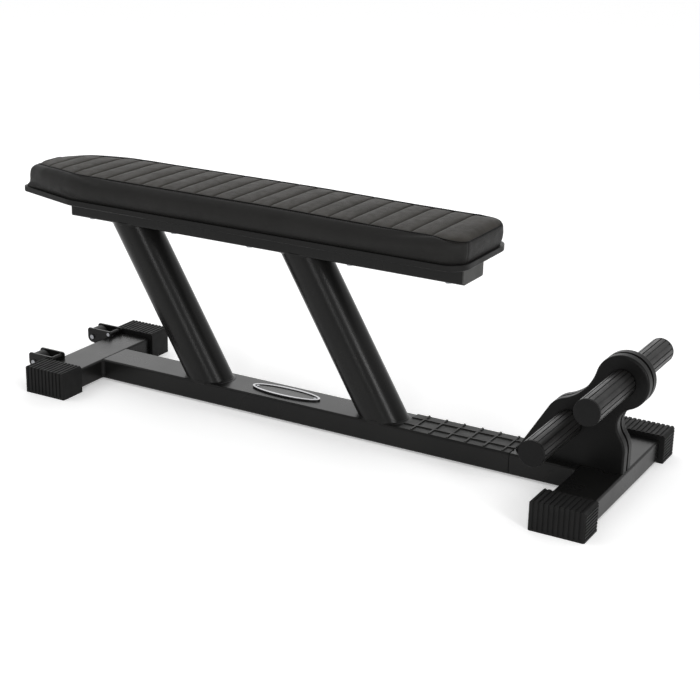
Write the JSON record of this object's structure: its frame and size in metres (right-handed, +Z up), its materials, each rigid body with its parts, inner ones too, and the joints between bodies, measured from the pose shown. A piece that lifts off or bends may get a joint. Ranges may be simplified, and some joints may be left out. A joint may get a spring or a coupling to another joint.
{
  "type": "flat weight bench",
  "caption": "Flat weight bench with a stitched pad, leaning posts, a foot hold with ribbed rollers and small transport wheels.",
  "frame": {"origin": "on the floor, half way along and half way across the bench", "axes": "+X from the head end to the foot hold, +Y to the left of a person lying on it, +Z up"},
  "size_m": [1.564, 0.5284, 0.524],
  "materials": {
    "frame_paint": "satin",
    "foot_rubber": "matte",
    "board": "painted",
    "pad_cover": "satin grain",
    "zinc_steel": "satin",
    "cover_plastic": "satin",
    "roller_rubber": "satin",
    "plastic": "matte",
    "tyre": "matte",
    "mat_rubber": "matte",
    "plate": "satin"
  },
  "bodies": {
    "frame": {"beam_plug_foot": "plastic", "beam_plug_head": "plastic", "bracket_spacer_left": "frame_paint", "bracket_spacer_right": "frame_paint", "bracket_tie_rivet_left": "zinc_steel", "bracket_tie_rivet_right": "zinc_steel", "cover_screws": "zinc_steel", "foot_hold_cover_left": "cover_plastic", "foot_hold_cover_right": "cover_plastic", "foot_hold_plate": "frame_paint", "front_crossbar": "frame_paint", "front_foot_cap_left": "foot_rubber", "front_foot_cap_right": "foot_rubber", "front_post": "frame_paint", "front_rail": "frame_paint", "joiner_screws": "zinc_steel", "lower_axle_tube": "zinc_steel", "lower_end_cap_left": "plastic", "lower_end_cap_right": "plastic", "main_rail": "frame_paint", "name_plate": "plate", "name_plate_rivets": "zinc_steel", "pad_beam": "frame_paint", "pad_board": "board", "pad_bolts": "zinc_steel", "pad_cushion": "pad_cover", "pad_tee_nuts": "zinc_steel", "pad_washers": "zinc_steel", "rail_joiner": "frame_paint", "rear_crossbar": "frame_paint", "rear_foot_cap_left": "foot_rubber", "rear_foot_cap_right": "foot_rubber", "rear_post": "frame_paint", "tread_mat": "mat_rubber", "upper_axle_tube": "zinc_steel", "upper_end_cap_left": "plastic", "upper_end_cap_right": "plastic", "wheel_axle_bolt_left": "zinc_steel", "wheel_axle_bolt_right": "zinc_steel", "wheel_axle_nut_left": "zinc_steel", "wheel_axle_nut_right": "zinc_steel", "wheel_bracket_left": "frame_paint", "wheel_bracket_right": "frame_paint"},
    "wheel_left": {"wheel_hub_left": "plastic", "wheel_tyre_left": "tyre"},
    "wheel_right": {"wheel_hub_right": "plastic", "wheel_tyre_right": "tyre"},
    "roller_lower_left": {"lower_roller_liner_left": "plastic", "lower_roller_sleeve_left": "roller_rubber"},
    "roller_lower_right": {"lower_roller_liner_right": "plastic", "lower_roller_sleeve_right": "roller_rubber"},
    "roller_upper_left": {"upper_roller_liner_left": "plastic", "upper_roller_sleeve_left": "roller_rubber"},
    "roller_upper_right": {"upper_roller_liner_right": "plastic", "upper_roller_sleeve_right": "roller_rubber"}
  },
  "joints": [
    {"name": "wheel_left_spin", "type": "hinge", "parent": "frame", "child": "wheel_left", "pos_m": [-0.716, 0.113, 0.046], "axis": [0, 1, 0], "continuous": true},
    {"name": "wheel_right_spin", "type": "hinge", "parent": "frame", "child": "wheel_right", "pos_m": [-0.716, -0.113, 0.046], "axis": [0, 1, 0], "continuous": true},
    {"name": "roller_lower_left_spin", "type": "hinge", "parent": "frame", "child": "roller_lower_left", "pos_m": [0.618, 0.116, 0.14], "axis": [0, 1, 0], "continuous": true},
    {"name": "roller_lower_right_spin", "type": "hinge", "parent": "frame", "child": "roller_lower_right", "pos_m": [0.618, -0.116, 0.14], "axis": [0, 1, 0], "continuous": true},
    {"name": "roller_upper_left_spin", "type": "hinge", "parent": "frame", "child": "roller_upper_left", "pos_m": [0.726, 0.116, 0.25], "axis": [0, 1, 0], "continuous": true},
    {"name": "roller_upper_right_spin", "type": "hinge", "parent": "frame", "child": "roller_upper_right", "pos_m": [0.726, -0.116, 0.25], "axis": [0, 1, 0], "continuous": true}
  ]
}
